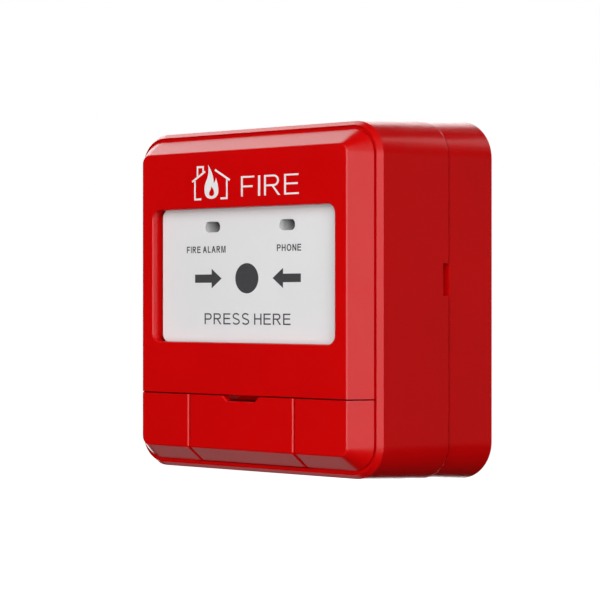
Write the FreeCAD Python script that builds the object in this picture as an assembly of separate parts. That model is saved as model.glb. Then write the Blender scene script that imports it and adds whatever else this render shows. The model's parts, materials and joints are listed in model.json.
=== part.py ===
"""Resettable manual call point for a fire alarm, as the separate pieces it is assembled from.

Millimetres. The wall is the plane y = 0 and the front faces -Y, X runs to the viewer's right and Z up.
The origin is the middle of the face that lies on the wall.
"""
import FreeCAD, Part
import math
import os

Vector = FreeCAD.Vector

# Outer form: the sides flare from the rim of the head to the wall
WALL_HALF_X = 44.0
WALL_HALF_Z = 48.05
WALL_RADIUS = 10.4
RIM_Y = -44.3
RIM_HALF_X = 41.0
RIM_HALF_Z = 45.1
RIM_RADIUS = 8.5
RIM_FRONT_Y = -45.8
RIM_CHAMFER = 1.05
GROOVE_HALF_X = 39.8
GROOVE_HALF_Z = 43.9
GROOVE_RADIUS = 7.2
SHELL_WALL = 2.6
BACK_PLATE = 2.5

# Parting line between base and head, with the slots that a blade prises them apart by
BASE_END_Y = -17.55
HEAD_BACK_Y = -18.05
BASE_STEP = 0.4
TONGUE_INSET = 1.5
TONGUE_HEIGHT = 2.15
TONGUE_GAP = 0.3
PRY_SLOT_Y = -20.6
PRY_SLOT_Z = (1.1, 9.5)

# Front covers: a flat face inside a wide bevel
FACE_Y = -51.5
FACE_HALF_X = 34.85
FACE_HALF_Z = 39.0
FACE_RADIUS = 2.2
BEVEL_Y = -46.2
BEVEL_HALF_X = 39.4
BEVEL_HALF_Z = 42.85
BEVEL_RADIUS = 6.6
COVER_WALL = 2.0
SPLIT_Z = -24.85
SPLIT_GAP = 0.34
COVER_FOOT_Z = SPLIT_Z + SPLIT_GAP / 2
LOWER_TOP_Z = SPLIT_Z - SPLIT_GAP / 2
LEDGE_Y = -45.2
FLANGE_THICK = 2.0
FLANGE_BACK_Y = LEDGE_Y + FLANGE_THICK
BEYOND = 60.0

# Edge radii: round the face, the window, the flap and its gaps, the panel, its lenses and the parting line
FACE_ROUNDING = 0.8
WINDOW_ROUNDING = 0.45
GAP_ROUNDING = 0.6
PANEL_ROUNDING = 0.35
LENS_ROUNDING = 0.2
PARTING_ROUNDING = 0.4

# Window and press panel
WINDOW_HALF_X = 31.0
WINDOW_BOTTOM = -11.15
WINDOW_TOP = 24.1
WINDOW_RADIUS = 2.4
WINDOW_RIB_Y = -49.05
WINDOW_RIB_WALL = 1.6
SIDE_RIB_Y = -47.3
PANEL_Y = -48.8
PANEL_THICK = 1.6
PANEL_HALF_X = 30.05
PANEL_BOTTOM = -11.45
PANEL_TOP = 24.4
PANEL_RADIUS = 2.3
PANEL_BACK_Y = PANEL_Y + PANEL_THICK
PANEL_PIVOT_Y = -46.3
PANEL_PIVOT_Z = 26.8
PANEL_KNUCKLE_X = (20.0, 26.0)
KNUCKLE_R = 1.5
ROD_R = 0.75
SPRING_X = 4.5
RUNNING_GAP = 0.05
PRESS_FIT_GAP = 0.01
LENS_CENTRES_X = (-12.0, 13.5)
LENS_Z = 19.3
LENS_LENGTH = 5.2
LENS_HEIGHT = 2.75
LENS_RADIUS = 1.2
CATCH_X = (7.0, 11.0)
CATCH_Z = (-12.0, -10.4)

# Access flap
FLAP_HALF_X = 17.8
FLAP_GAP = 0.25
FLAP_TOP = LOWER_TOP_Z
FLAP_THICK = 1.7
FLAP_END_Y = -45.6
FLAP_PIVOT_Y = -46.9
FLAP_PIVOT_Z = -39.9
NOTCH_TOP_HALF = 6.0
NOTCH_FOOT_HALF = 4.6
NOTCH_DEPTH = 1.3

# Pocket behind the flap, with the phone jack and the reset lock
POCKET_HALF_X = FLAP_HALF_X + FLAP_GAP
POCKET_OUTER_X = 19.5
POCKET_FLOOR_Y = -41.0
POCKET_BACK_Y = -39.4
POCKET_TOP = -26.2
POCKET_BOTTOM = -41.4
POCKET_BOX_BOTTOM = -42.3
LOCK_Z = -33.5
JACK_X = -9.0
JACK_BORE_R = 3.25
JACK_THREAD_R = 4.75
JACK_BUSH_FRONT_Y = -44.0
JACK_CASE_FRONT_Y = POCKET_BACK_Y + 0.8
JACK_CASE_BACK_Y = -14.4
JACK_LEAF_Z = 4.1
LOCK_X = 9.0
BARREL_R = 4.0
BARREL_FRONT_Y = -42.2
CAM_SHAFT_R = 2.55
CAM_JOURNAL_R = 1.2
CAM_DISC_Y = (-39.1, -37.5)
CAM_BASE_R = 2.8
CAM_LIFT = 2.5
KEY_REACH = 1.9
SLIDER_Y = (-38.9, -37.3)
RAIL_TOP_Y = -37.0
KEEPER_BACK_Y = -35.8

# Main board and what it carries
BOARD_FRONT_Y = -24.0
BOARD_THICK = 1.6
BOARD_BACK_Y = BOARD_FRONT_Y + BOARD_THICK
BOARD_HALF_X = 36.0
BOARD_TOP = 38.5
BOARD_BOTTOM = -22.0
BOARD_POSTS = ((-30.0, 33.5), (30.0, 33.5), (-30.0, -18.0), (30.0, -18.0))
SWITCH_X = (-10.0, 4.5)
SWITCH_Z = 5.7
SWITCH_HALF_Z = 3.25
SWITCH_TOP_Y = -33.6
SWITCH_TAGS_X = (-8.0, -3.0, 2.0)
LEVER_PIVOT_X = -8.5
LEVER_PIVOT_Y = -35.3
LEVER_FRONT_Y = -36.0
LEVER_HALF_Z = 2.4
PLUNGER_R = 0.8
BOSS_X = 6.0

# Terminals and the plug-in contacts between base and head
POLES_X = (-12.0, -4.0, 4.0, 12.0)
TERMINAL_Z = 24.0
TERMINAL_FRONT_Y = -13.0
TERMINAL_EAR_Y = (-7.6, -6.0)
TERMINAL_FIXING = (19.5, 26.0)
BLADE_Z = 29.0
BLADE_HALF_Z = 0.4
BLADE_TIP_Y = -19.0
SOCKET_BACK_Y = -13.7
WALL_SCREW_SPACING = 60.0
WALL_SLOT_HALF = (4.5, 2.2)

# Screws: head radius, shank radius
COVER_SCREW = (2.0, 1.15)
BOARD_SCREW = (2.4, 1.15)
KEEPER_SCREW = (1.6, 0.9)
TERMINAL_SCREW = (2.0, 1.0)
SCREW_CLEARANCE = 0.05
RECESS_DEPTH = 0.7
RECESS_HALF_WIDTH = 0.25
RECESS_REACH = 0.62
COVER_SCREWS = ((-34.6, 37.2), (34.6, 37.2), (-35.5, -20.0), (35.5, -20.0))
LOWER_COVER_SCREWS = ((-29.0, -34.0), (29.0, -34.0))
KEEPER_SCREWS = ((0.4, -39.0), (17.9, -27.0))


# Building blocks

def around(middle, half):
    """The two ends of a length that is centred on middle."""
    return (middle - half, middle + half)


def box(x, y, z):
    """A block between the two values of each pair."""
    size = [abs(pair[1] - pair[0]) for pair in (x, y, z)]
    return Part.makeBox(*size, Vector(min(x), min(y), min(z)))


def cylinder(axis, a, b, radius, ends):
    """A round bar along axis; a and b are its other two coordinates, in X, Y, Z order."""
    low, length = min(ends), abs(ends[1] - ends[0])
    if axis == "x":
        return Part.makeCylinder(radius, length, Vector(low, a, b), Vector(1, 0, 0))
    if axis == "y":
        return Part.makeCylinder(radius, length, Vector(a, low, b), Vector(0, 1, 0))
    return Part.makeCylinder(radius, length, Vector(a, b, low), Vector(0, 0, 1))


def cone(x, z, radii, ends):
    """A taper along Y from ends[0] with radii[0] to ends[1] with radii[1]."""
    return Part.makeCone(radii[0], radii[1], ends[1] - ends[0], Vector(x, ends[0], z), Vector(0, 1, 0))


def rounded_outline(half_x, half_z, radius, y, x=0.0, z=0.0):
    """A closed rounded rectangle in a plane of constant y."""
    in_x, in_z = half_x - radius, half_z - radius
    diagonal = radius * math.sqrt(0.5)
    corners = []
    for sx, sz in ((1, 1), (-1, 1), (-1, -1), (1, -1)):
        centre = Vector(x + sx * in_x, y, z + sz * in_z)
        on_x = centre + Vector(sx * radius, 0, 0)
        on_z = centre + Vector(0, 0, sz * radius)
        middle = centre + Vector(sx * diagonal, 0, sz * diagonal)
        corners.append((on_x, middle, on_z) if sx == sz else (on_z, middle, on_x))
    edges = []
    for i, (start, middle, end) in enumerate(corners):
        edges.append(Part.Arc(start, middle, end).toShape())
        edges.append(Part.LineSegment(end, corners[(i + 1) % 4][0]).toShape())
    return Part.Wire(edges)


def loft(*outlines):
    """A solid with straight sides through outlines of matching edges."""
    return Part.makeLoft(list(outlines), True, True)


def rounded_block(half_x, half_z, radius, ends, x=0.0, z=0.0):
    """An upright-sided block along Y with rounded corners."""
    near = rounded_outline(half_x, half_z, radius, ends[0], x, z)
    far = rounded_outline(half_x, half_z, radius, ends[1], x, z)
    return loft(near, far)


def prism(points, axis, ends):
    """A polygon swept along X (points are y, z) or along Y (points are x, z)."""
    if axis == "x":
        corners = [Vector(ends[0], a, b) for a, b in points]
        sweep = Vector(ends[1] - ends[0], 0, 0)
    else:
        corners = [Vector(a, ends[0], b) for a, b in points]
        sweep = Vector(0, ends[1] - ends[0], 0)
    wire = Part.makePolygon(corners + corners[:1])
    return Part.Face(wire).extrude(sweep)


def join(*shapes):
    """One solid from shapes that meet."""
    return shapes[0].fuse(list(shapes[1:])).removeSplitter()


def cut(shape, *tools):
    return shape.cut(list(tools))


def both_sides(make):
    """The same thing at +X and -X."""
    return [make(side) for side in (1, -1)]


def coil(radius, wire_radius, pitch, height):
    """A round-wire spring along Z, from the origin up."""
    path = Part.makeHelix(pitch, height, radius)
    start = Part.makeCircle(wire_radius, Vector(radius, 0, 0), Vector(0, 1, 0))
    return Part.Wire([path.Edges[0]]).makePipeShell([Part.Wire([start])], True, False)


def screw(place, radii, head_under_y, head_top_y, tip_y):
    """A pan-head screw along Y with a cross recess in the top of its head."""
    x, z = place
    head, shank = radii
    into_head = math.copysign(RECESS_DEPTH, head_under_y - head_top_y)
    recess_y = (head_top_y, head_top_y + into_head)
    arm = head * RECESS_REACH
    body = join(
        cylinder("y", x, z, head, (head_under_y, head_top_y)),
        cylinder("y", x, z, shank, (head_under_y, tip_y)),
    )
    return cut(
        body,
        box(around(x, arm), recess_y, around(z, RECESS_HALF_WIDTH)),
        box(around(x, RECESS_HALF_WIDTH), recess_y, around(z, arm)),
    )


def pilots(places, radii, ends):
    """Holes that the shanks of such screws turn in."""
    return [cylinder("y", x, z, radii[1] + SCREW_CLEARANCE, ends) for x, z in places]


def save(node, shapes):
    """Writes a node's STEP, from one solid or from several separate ones."""
    solids = shapes if isinstance(shapes, list) else [shapes]
    solids = [solid for shape in solids for solid in shape.Solids]
    for solid in solids:
        if not solid.isValid() or solid.Volume <= 0:
            print("NOT A GOOD SOLID:", node)
    whole = solids[0] if len(solids) == 1 else Part.makeCompound(solids)
    whole.exportStep("parts/" + node + ".step")
    print(node, len(solids), round(sum(solid.Volume for solid in solids), 1))


# The flared outer form and the bevelled front

def flare_size(y):
    """The housing's half width, half height and corner radius at a depth."""
    part_way = y / RIM_Y
    half_x = WALL_HALF_X + (RIM_HALF_X - WALL_HALF_X) * part_way
    half_z = WALL_HALF_Z + (RIM_HALF_Z - WALL_HALF_Z) * part_way
    radius = WALL_RADIUS + (RIM_RADIUS - WALL_RADIUS) * part_way
    return half_x, half_z, radius


def flare_outline(y, inset=0.0):
    """The housing's outline at a depth, moved in by inset."""
    half_x, half_z, radius = flare_size(y)
    return rounded_outline(half_x - inset, half_z - inset, radius - inset, y)


def flare(ends, inset=0.0):
    return loft(flare_outline(ends[0], inset), flare_outline(ends[1], inset))


def outer_edges(shape, y):
    """Edges at a depth that lie along the housing's outline."""
    half_x, half_z, _ = flare_size(y)
    found = []
    for edge in edges_at(shape, y, half_x, -half_z, half_z):
        points = [vertex.Point for vertex in edge.Vertexes]
        if all(max(abs(point.x) - half_x, abs(point.z) - half_z) > -0.01 for point in points):
            found.append(edge)
    return found


def bevelled_front():
    """The solid form of both covers together, with the edge of its face slightly rounded."""
    foot = rounded_outline(BEVEL_HALF_X, BEVEL_HALF_Z, BEVEL_RADIUS, LEDGE_Y)
    shoulder = rounded_outline(BEVEL_HALF_X, BEVEL_HALF_Z, BEVEL_RADIUS, BEVEL_Y)
    face = rounded_outline(FACE_HALF_X, FACE_HALF_Z, FACE_RADIUS, FACE_Y)
    form = join(loft(foot, shoulder), loft(shoulder, face))
    rim = [edge for edge in form.Edges if edge.BoundBox.YMax < FACE_Y + 0.01]
    return form.makeFillet(FACE_ROUNDING, rim)


def on_skin(point):
    """Whether a point is on the flat face or the bottom bevel, or in the rounding between them."""
    below_face = max(0.0, -FACE_HALF_Z - point.z)
    skin_y = FACE_Y + below_face * (BEVEL_Y - FACE_Y) / (BEVEL_HALF_Z - FACE_HALF_Z)
    return abs(point.y - skin_y) < FACE_ROUNDING / 4 and point.z > -BEVEL_HALF_Z - 0.01


def edges_at(shape, y, half_x, low_z, high_z):
    """Edges in a plane of constant y that are inside a box of x and z."""
    found = []
    for edge in shape.Edges:
        bounds = edge.BoundBox
        in_plane = abs(bounds.YMin - y) < 0.01 and abs(bounds.YMax - y) < 0.01
        across = bounds.XMin > -half_x - 0.01 and bounds.XMax < half_x + 0.01
        if in_plane and across and bounds.ZMin > low_z - 0.01 and bounds.ZMax < high_z + 0.01:
            found.append(edge)
    return found


def upright_edges(shape, half_x):
    """Edges of the skin that run down its face and bevel at x = +half_x and -half_x."""
    found = []
    for edge in shape.Edges:
        bounds = edge.BoundBox
        at_side = abs(max(abs(bounds.XMin), abs(bounds.XMax)) - half_x) < 0.01
        upright = bounds.XLength < 0.01 and bounds.ZLength > 0.1
        if at_side and upright and all(on_skin(vertex.Point) for vertex in edge.Vertexes):
            found.append(edge)
    return found


def bevelled_hollow():
    """The space inside both covers."""
    half_x, half_z = BEVEL_HALF_X - COVER_WALL, BEVEL_HALF_Z - COVER_WALL
    radius = BEVEL_RADIUS - COVER_WALL
    face_inset = COVER_WALL / 2
    foot = rounded_outline(half_x, half_z, radius, LEDGE_Y + 1)
    shoulder = rounded_outline(half_x, half_z, radius, BEVEL_Y)
    face = rounded_outline(
        FACE_HALF_X - face_inset, FACE_HALF_Z - face_inset, FACE_RADIUS - 0.4, FACE_Y + COVER_WALL
    )
    return join(loft(foot, shoulder), loft(shoulder, face))


# Rear base and terminals

def rear_base():
    """Tray on the wall: back plate, flared walls and a tongue that locates the head."""
    tongue_end = HEAD_BACK_Y - TONGUE_HEIGHT
    tongue_root = BASE_END_Y + 2
    pad_y = (-3.6, -1)
    boss_x, boss_z = TERMINAL_FIXING
    outer = loft(flare_outline(0), flare_outline(BASE_END_Y, BASE_STEP))
    shell = cut(outer, flare((-BACK_PLATE, BASE_END_Y - 1), SHELL_WALL))
    tongue = cut(
        flare((tongue_root, tongue_end), TONGUE_INSET),
        flare((tongue_root + 1, tongue_end - 1), SHELL_WALL),
    )
    slots_x = WALL_SCREW_SPACING / 2
    pads = both_sides(lambda side: rounded_block(7.0, 4.6, 4.5, pad_y, side * slots_x))
    bosses = both_sides(lambda side: cylinder("y", side * boss_x, boss_z, 2.6, (-6, -1)))
    slot_radius = WALL_SLOT_HALF[1] - 0.01
    slots = both_sides(lambda side: rounded_block(*WALL_SLOT_HALF, slot_radius, (-5, 1), side * slots_x))
    holes = pilots([(side * boss_x, boss_z) for side in (1, -1)], COVER_SCREW, (-7, -2))
    cable_entry = rounded_block(14.0, 10.0, 3.0, (-5, 1), 0, -15.0)
    behind_pry_slots = both_sides(
        lambda side: box((side * 39.5, side * 46), (tongue_end - 1, BASE_END_Y), PRY_SLOT_Z)
    )
    return cut(join(shell, tongue, *pads, *bosses), *slots, *holes, cable_entry, *behind_pry_slots)


def terminal_block():
    """Four poles: screws from the front, wires in from below, blade slots above."""
    fixing_x, fixing_z = TERMINAL_FIXING
    screw_well_end, clamp_room = -11.5, (-9.8, -6.4)
    block = join(
        box((-16.4, 16.4), (TERMINAL_FRONT_Y, -3.2), (20.5, 32.5)),
        box((-22, 22), TERMINAL_EAR_Y, around(fixing_z, 3)),
    )
    for x in POLES_X:
        block = cut(
            block,
            cylinder("y", x, TERMINAL_Z, 2.3, (TERMINAL_FRONT_Y - 1, screw_well_end)),
            cylinder("y", x, TERMINAL_Z, TERMINAL_SCREW[1] + SCREW_CLEARANCE, (-12, -9)),
            box(around(x, 1.9), clamp_room, (19, 26.4)),
            box(around(x, 2.25), (TERMINAL_FRONT_Y - 1, -8.9), around(BLADE_Z, BLADE_HALF_Z + RUNNING_GAP)),
        )
    hole_r = COVER_SCREW[1] + 0.1
    holes = both_sides(lambda side: cylinder("y", side * fixing_x, fixing_z, hole_r, (-8, -5)))
    return cut(block, *holes)


def terminal_screws():
    return [screw((x, TERMINAL_Z), TERMINAL_SCREW, -11.6, TERMINAL_FRONT_Y, -9.65) for x in POLES_X]


def wire_clamps():
    return [box(around(x, 1.6), (-9.6, -8.8), (20.9, 26.1)) for x in POLES_X]


def contact_blades():
    """Flat blades with tapered tips, standing towards the head."""
    half_x, past_tip, taper_start, tip_half = 2.2, BLADE_TIP_Y - 0.1, BLADE_TIP_Y + 1.2, 0.15
    outside = BLADE_HALF_Z + 0.1
    blades = []
    for x in POLES_X:
        blade = box(around(x, half_x), (BLADE_TIP_Y, -9), around(BLADE_Z, BLADE_HALF_Z))
        for side in (1, -1):
            wedge = (
                (past_tip, BLADE_Z + side * outside),
                (taper_start, BLADE_Z + side * outside),
                (past_tip, BLADE_Z + side * tip_half),
            )
            blade = cut(blade, prism(wedge, "x", around(x, half_x + 1)))
        blades.append(blade)
    return blades


def terminal_block_screws():
    x, z = TERMINAL_FIXING
    ear_front_y = TERMINAL_EAR_Y[0]
    head_top_y = ear_front_y - 1.6
    return both_sides(lambda side: screw((side * x, z), COVER_SCREW, ear_front_y, head_top_y, -3.2))


# Head housing and covers

def head_housing():
    """Flared shell, chamfered rim, and a flange with openings for the panel and the pocket."""
    rim_front = rounded_outline(
        RIM_HALF_X - RIM_CHAMFER, RIM_HALF_Z - RIM_CHAMFER, RIM_RADIUS - RIM_CHAMFER, RIM_FRONT_Y
    )
    outer = join(flare((HEAD_BACK_Y, RIM_Y)), loft(flare_outline(RIM_Y), rim_front))
    hollow = flare((HEAD_BACK_Y + 1, FLANGE_BACK_Y), SHELL_WALL)
    room_end = HEAD_BACK_Y - TONGUE_HEIGHT - TONGUE_GAP
    tongue_room = flare((HEAD_BACK_Y + 1, room_end), TONGUE_INSET - TONGUE_GAP)
    groove = rounded_block(GROOVE_HALF_X, GROOVE_HALF_Z, GROOVE_RADIUS, (LEDGE_Y, LEDGE_Y - 2))
    through = (LEDGE_Y - 1, FLANGE_BACK_Y + 1)
    panel_opening = box((-33, 33), through, (-14, 29.5))
    pocket_opening = box((-19.8, 19.8), through, (-43.1, -24.6))
    slot_y = (PRY_SLOT_Y, HEAD_BACK_Y + 1)
    pry_slots = both_sides(lambda side: box((side * 41, side * 46), slot_y, PRY_SLOT_Z))
    shell = cut(outer, hollow, tongue_room, groove, panel_opening, pocket_opening, *pry_slots)
    into_flange = FLANGE_BACK_Y - 0.5
    posts = [cylinder("y", x, z, 2.8, (into_flange, BOARD_FRONT_Y)) for x, z in BOARD_POSTS]
    spring_lug = box((7.3, 10.7), (into_flange, -36.6), (-21.8, -20.2))
    cover_holes = [cylinder("y", x, z, 1.25, through) for x, z in COVER_SCREWS + LOWER_COVER_SCREWS]
    board_holes = pilots(BOARD_POSTS, BOARD_SCREW, (-31, BOARD_FRONT_Y + 1))
    head = cut(join(shell, *posts, spring_lug), *cover_holes, *board_holes)
    return head.makeFillet(PARTING_ROUNDING, outer_edges(head, HEAD_BACK_Y))


def front_cover():
    """Upper cover: window with deep ribs beside the panel, ears for its pivot rod, screw bosses."""
    form = bevelled_front()
    upper = box((-BEYOND, BEYOND), (-BEYOND, -40), (COVER_FOOT_Z, BEYOND))
    foot_rib = box((-BEYOND, BEYOND), (-BEYOND, LEDGE_Y), (SPLIT_Z, SPLIT_Z + 1.7)).common(form)
    middle = (WINDOW_TOP + WINDOW_BOTTOM) / 2
    half_z = (WINDOW_TOP - WINDOW_BOTTOM) / 2
    in_face = FACE_Y + 1
    rib_half_x, rib_half_z = WINDOW_HALF_X + WINDOW_RIB_WALL, half_z + 1.2
    rib = rounded_block(rib_half_x, rib_half_z, WINDOW_RADIUS + 1.2, (in_face, WINDOW_RIB_Y), 0, middle)
    side_ribs = both_sides(
        lambda side: box(
            (side * (WINDOW_HALF_X - 0.1), side * (WINDOW_HALF_X + WINDOW_RIB_WALL)),
            (in_face, SIDE_RIB_Y),
            (WINDOW_BOTTOM, WINDOW_TOP),
        )
    )
    opening = rounded_block(WINDOW_HALF_X, half_z, WINDOW_RADIUS, (FACE_Y - 1, WINDOW_RIB_Y), 0, middle)
    behind = box(around(0, WINDOW_HALF_X), (WINDOW_RIB_Y - 0.01, -44), (WINDOW_BOTTOM, WINDOW_TOP))
    ears = both_sides(lambda side: box((side * 26.3, side * 28.6), (in_face, -44.8), (25.35, 28.4)))
    bosses = [cylinder("y", x, z, 2.2, (-49.6, LEDGE_Y)).common(form) for x, z in COVER_SCREWS]
    whole = join(cut(form, bevelled_hollow()), foot_rib, rib, *side_ribs, *ears, *bosses)
    rod_hole = cylinder("x", PANEL_PIVOT_Y, PANEL_PIVOT_Z, ROD_R + PRESS_FIT_GAP, (-29, 29))
    holes = pilots(COVER_SCREWS, COVER_SCREW, (-48.6, LEDGE_Y + 1))
    cover = cut(whole.common(upper), opening, behind, rod_hole, *holes)
    return cover.makeFillet(
        WINDOW_ROUNDING, edges_at(cover, FACE_Y, WINDOW_HALF_X, WINDOW_BOTTOM, WINDOW_TOP)
    )


def lower_cover():
    """Two cheeks joined by the pocket, with rails for the reset slider behind its floor."""
    form = bevelled_front()
    lower = box((-BEYOND, BEYOND), (-BEYOND, -30), (-BEYOND, LOWER_TOP_Z))
    top_rib = box((-BEYOND, BEYOND), (-BEYOND, LEDGE_Y), (SPLIT_Z - 1.4, SPLIT_Z)).common(form)
    across = around(0, POCKET_OUTER_X)
    block_in_front = box(across, (-BEYOND, LEDGE_Y), (-BEYOND, SPLIT_Z)).common(form)
    block_behind = box(across, (LEDGE_Y, POCKET_BACK_Y), (POCKET_BOX_BOTTOM, LOWER_TOP_Z))
    bosses = [cylinder("y", x, z, 2.4, (-49.6, LEDGE_Y)).common(form) for x, z in LOWER_COVER_SCREWS]
    rail_y, rail_z = (POCKET_BACK_Y - 0.5, RAIL_TOP_Y), (-41.3, -25.2)
    rails = [box(rail_x, rail_y, rail_z) for rail_x in ((-1.0, 1.7), (16.3, POCKET_OUTER_X))]
    solid = join(cut(form, bevelled_hollow()), top_rib, block_in_front, block_behind, *bosses, *rails)
    flap_room = around(0, POCKET_HALF_X)
    tools = [
        box(flap_room, (-BEYOND, FACE_Y + COVER_WALL), (-BEYOND, 0)),
        box(flap_room, (-BEYOND, POCKET_FLOOR_Y - 2.2), (-BEYOND, POCKET_TOP)),
        box(flap_room, (-44, POCKET_FLOOR_Y), (POCKET_BOTTOM, POCKET_TOP)),
        box((-6.2, 6.2), (-BEYOND, -46.5), (-28, 0)),
        cylinder("x", FLAP_PIVOT_Y, FLAP_PIVOT_Z, ROD_R + PRESS_FIT_GAP, (-19.45, 19.45)),
        cylinder("y", JACK_X, LOCK_Z, JACK_THREAD_R + 0.1, (-42, -38)),
        cylinder("y", LOCK_X, LOCK_Z, BARREL_R + RUNNING_GAP, (-42, -38)),
    ]
    tools += pilots(LOWER_COVER_SCREWS, COVER_SCREW, (-48.6, LEDGE_Y + 1))
    tools += pilots(KEEPER_SCREWS, KEEPER_SCREW, (-40.6, -36))
    cover = cut(solid.common(lower), *tools)
    return cover.makeFillet(GAP_ROUNDING, upright_edges(cover, POCKET_HALF_X))


def flange_screws(places):
    """Screws from behind the head's flange into the covers' bosses."""
    return [screw(place, COVER_SCREW, FLANGE_BACK_Y, FLANGE_BACK_Y + 1.5, -48.4) for place in places]


# Access flap

def flap_section():
    """The flap's outline in y and z: a flat plate whose foot follows the bevel at even thickness."""
    step_y = BEVEL_Y - FACE_Y
    step_z = BEVEL_HALF_Z - FACE_HALF_Z
    length = math.hypot(step_y, step_z)
    inner_start_y = FACE_Y + FLAP_THICK * step_z / length
    inner_start_z = -FACE_HALF_Z + FLAP_THICK * step_y / length
    slope = step_z / step_y
    inner_y = FACE_Y + FLAP_THICK
    return (
        (FACE_Y, FLAP_TOP),
        (FACE_Y, -FACE_HALF_Z),
        (BEVEL_Y, -BEVEL_HALF_Z),
        (FLAP_END_Y, -BEVEL_HALF_Z),
        (FLAP_END_Y, inner_start_z - slope * (FLAP_END_Y - inner_start_y)),
        (inner_y, inner_start_z - slope * (inner_y - inner_start_y)),
        (inner_y, FLAP_TOP),
    )


def finger_notch():
    """The tapered notch in the flap's top edge."""
    above = 1.0
    past_top = NOTCH_TOP_HALF + above * (NOTCH_TOP_HALF - NOTCH_FOOT_HALF) / NOTCH_DEPTH
    corners = (
        (-past_top, FLAP_TOP + above),
        (-NOTCH_FOOT_HALF, FLAP_TOP - NOTCH_DEPTH),
        (NOTCH_FOOT_HALF, FLAP_TOP - NOTCH_DEPTH),
        (past_top, FLAP_TOP + above),
    )
    return prism(corners, "y", (-BEYOND, -45))


def access_flap():
    """Face plate, bevelled foot and two hinge knuckles."""
    plate = prism(flap_section(), "x", around(0, FLAP_HALF_X))
    crease = [
        edge for edge in plate.Edges
        if edge.Length > FLAP_HALF_X and abs(edge.CenterOfMass.z + FACE_HALF_Z) < 0.01
        and abs(edge.CenterOfMass.y - FACE_Y) < 0.01
    ]
    plate = plate.makeFillet(FACE_ROUNDING, crease)
    knuckles = both_sides(
        lambda side: cylinder("x", FLAP_PIVOT_Y, FLAP_PIVOT_Z, KNUCKLE_R, (side * 9.5, side * 16.8))
    )
    pin_hole = cylinder("x", FLAP_PIVOT_Y, FLAP_PIVOT_Z, ROD_R + RUNNING_GAP, (-20, 20))
    flap = cut(join(plate, *knuckles), finger_notch(), pin_hole)
    top_edges = edges_at(flap, FACE_Y, FLAP_HALF_X - 0.02, FLAP_TOP - NOTCH_DEPTH, FLAP_TOP)
    return flap.makeFillet(GAP_ROUNDING, top_edges + upright_edges(flap, FLAP_HALF_X))


def flap_hinge_pin():
    return cylinder("x", FLAP_PIVOT_Y, FLAP_PIVOT_Z, ROD_R, (-19.3, 19.3))


# Press panel

def lens_block(grow, ends, x):
    """The lens's outline, larger all round by grow, as a block along Y."""
    radius = LENS_RADIUS + grow
    return rounded_block(LENS_LENGTH / 2 + grow, LENS_HEIGHT / 2 + grow, radius, ends, x, LENS_Z)


def press_panel():
    """White plate with knuckles at its top, a boss that drives the switch and a catch below."""
    middle = (PANEL_TOP + PANEL_BOTTOM) / 2
    half_z = (PANEL_TOP - PANEL_BOTTOM) / 2
    in_plate = PANEL_BACK_Y - 0.3
    plate = rounded_block(PANEL_HALF_X, half_z, PANEL_RADIUS, (PANEL_Y, PANEL_BACK_Y), 0, middle)
    outline = edges_at(plate, PANEL_Y, PANEL_HALF_X, PANEL_BOTTOM, PANEL_TOP)
    plate = plate.makeFillet(PANEL_ROUNDING, outline)
    arms = []
    for side in (1, -1):
        knuckle_x = [side * x for x in PANEL_KNUCKLE_X]
        arms.append(cylinder("x", PANEL_PIVOT_Y, PANEL_PIVOT_Z, KNUCKLE_R, knuckle_x))
        arms.append(box(knuckle_x, (in_plate, PANEL_PIVOT_Y + 1.4), (22.0, PANEL_PIVOT_Z)))
    boss = cone(BOSS_X, SWITCH_Z, (2.4, 0.9), (in_plate, -36.3))
    catch_arm = box(CATCH_X, (in_plate, -46.2), (CATCH_Z[0], CATCH_Z[1] + 1))
    catch = box(CATCH_X, (in_plate, -40.5), CATCH_Z)
    stiffeners = both_sides(lambda side: box((side * 28.2, side * 29.4), (in_plate, -45.6), (-9.5, 20.5)))
    openings = [lens_block(0, (PANEL_Y - 1, PANEL_BACK_Y + 1), x) for x in LENS_CENTRES_X]
    rod_hole = cylinder("x", PANEL_PIVOT_Y, PANEL_PIVOT_Z, ROD_R + RUNNING_GAP, (-30, 30))
    panel = cut(join(plate, *arms, boss, catch_arm, catch, *stiffeners), *openings, rod_hole)
    lens_zone = (LENS_CENTRES_X[1] + LENS_LENGTH / 2, *around(LENS_Z, LENS_HEIGHT / 2))
    return panel.makeFillet(LENS_ROUNDING, edges_at(panel, PANEL_Y, *lens_zone))


def indicator_lens(x):
    """Clear plug with a scooped face and a flange behind the panel."""
    face_y = PANEL_Y + 0.12
    scoop_r, scoop_depth = 4.3, 0.75
    plug = lens_block(-0.03, (face_y, PANEL_BACK_Y + 0.4), x)
    flange = lens_block(0.8, (PANEL_BACK_Y, PANEL_BACK_Y + 0.5), x)
    scoop = cylinder("z", x, face_y + scoop_depth - scoop_r, scoop_r, around(LENS_Z, LENS_HEIGHT))
    return cut(join(plug, flange), scoop)


def panel_pivot_rod():
    return cylinder("x", PANEL_PIVOT_Y, PANEL_PIVOT_Z, ROD_R, (-28.5, 28.5))


def wire_leg(start, end, radius):
    """A straight end of spring wire."""
    run = end - start
    return Part.makeCylinder(radius, run.Length, start, run)


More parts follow.
